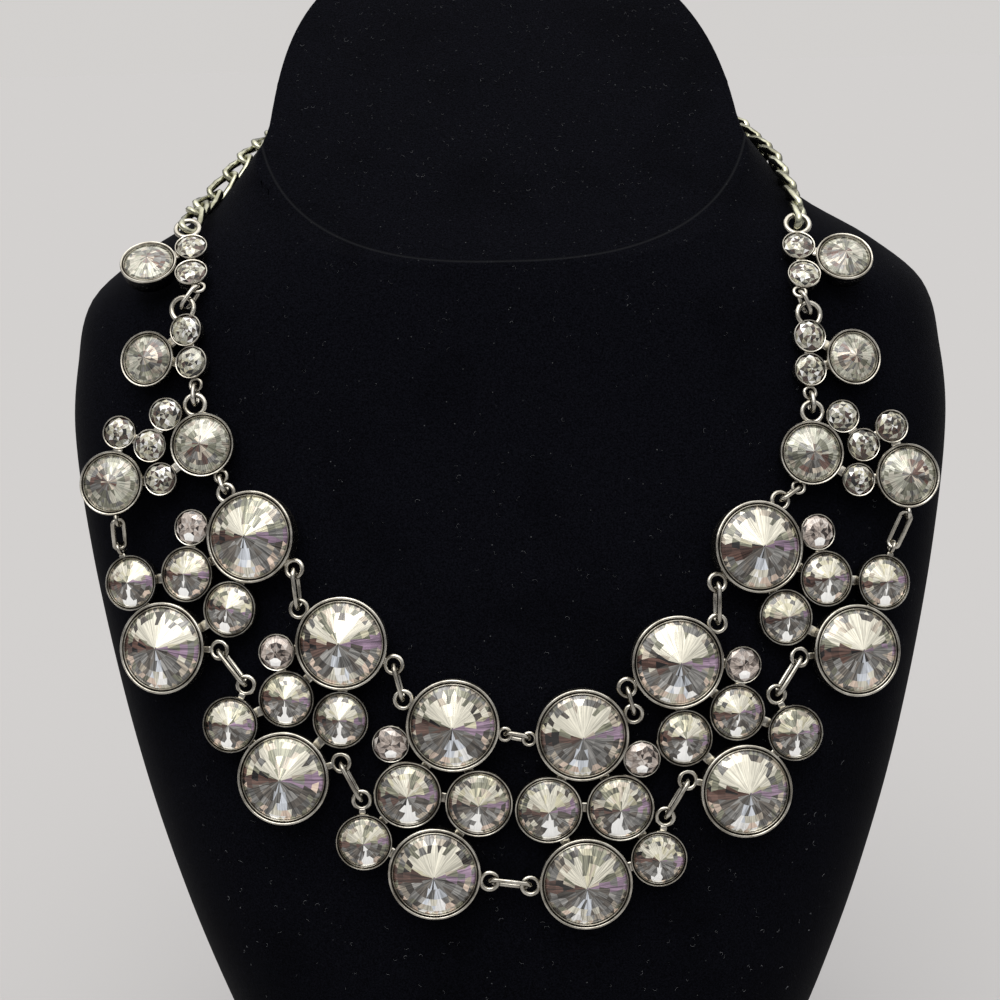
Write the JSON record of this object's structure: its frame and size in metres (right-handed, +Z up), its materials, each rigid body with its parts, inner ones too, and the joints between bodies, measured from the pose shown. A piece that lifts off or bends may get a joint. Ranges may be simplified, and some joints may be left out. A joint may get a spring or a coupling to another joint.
{
  "type": "bib necklace on a neck bust",
  "caption": "Bib necklace of cast silver-tone plates set with round foiled stones, joined by oval links, with a neck chain, shown on a black velvet neck bust.",
  "frame": {"origin": "middle of the neck bust's flat base, on the surface it stands on", "axes": "+Z up, -Y is the bust's front, where the picture looks from, and -X is the left of the picture"},
  "size_m": [0.213, 0.1427, 0.298],
  "materials": {
    "velvet": "black velvet",
    "silver_tone_metal": "polished",
    "foiled_stone": "polished, foiled"
  },
  "bodies": {
    "root": {"casting_left_1": "silver_tone_metal", "casting_left_2": "silver_tone_metal", "casting_left_3": "silver_tone_metal", "casting_left_4": "silver_tone_metal", "casting_left_5": "silver_tone_metal", "casting_left_6": "silver_tone_metal", "casting_right_1": "silver_tone_metal", "casting_right_2": "silver_tone_metal", "casting_right_3": "silver_tone_metal", "casting_right_4": "silver_tone_metal", "casting_right_5": "silver_tone_metal", "casting_right_6": "silver_tone_metal", "chain_left": "silver_tone_metal", "chain_right": "silver_tone_metal", "clasp": "silver_tone_metal", "link_front_lower": "silver_tone_metal", "link_front_upper": "silver_tone_metal", "link_left_1_2": "silver_tone_metal", "link_left_2_3": "silver_tone_metal", "link_left_3_4_inner": "silver_tone_metal", "link_left_3_4_outer": "silver_tone_metal", "link_left_4_5_inner": "silver_tone_metal", "link_left_4_5_outer": "silver_tone_metal", "link_left_5_6_inner": "silver_tone_metal", "link_left_5_6_outer": "silver_tone_metal", "link_right_1_2": "silver_tone_metal", "link_right_2_3": "silver_tone_metal", "link_right_3_4_inner": "silver_tone_metal", "link_right_3_4_outer": "silver_tone_metal", "link_right_4_5_inner": "silver_tone_metal", "link_right_4_5_outer": "silver_tone_metal", "link_right_5_6_inner": "silver_tone_metal", "link_right_5_6_outer": "silver_tone_metal", "neck_bust": "velvet", "stone_left_1": "foiled_stone", "stone_left_2": "foiled_stone", "stone_left_3_inner": "foiled_stone", "stone_left_3_outer": "foiled_stone", "stone_left_4_inner": "foiled_stone", "stone_left_4_outer": "foiled_stone", "stone_left_5_inner": "foiled_stone", "stone_left_5_outer": "foiled_stone", "stone_left_6_inner": "foiled_stone", "stone_left_6_outer": "foiled_stone", "stone_right_1": "foiled_stone", "stone_right_2": "foiled_stone", "stone_right_3_inner": "foiled_stone", "stone_right_3_outer": "foiled_stone", "stone_right_4_inner": "foiled_stone", "stone_right_4_outer": "foiled_stone", "stone_right_5_inner": "foiled_stone", "stone_right_5_outer": "foiled_stone", "stone_right_6_inner": "foiled_stone", "stone_right_6_outer": "foiled_stone"}
  },
  "joints": []
}
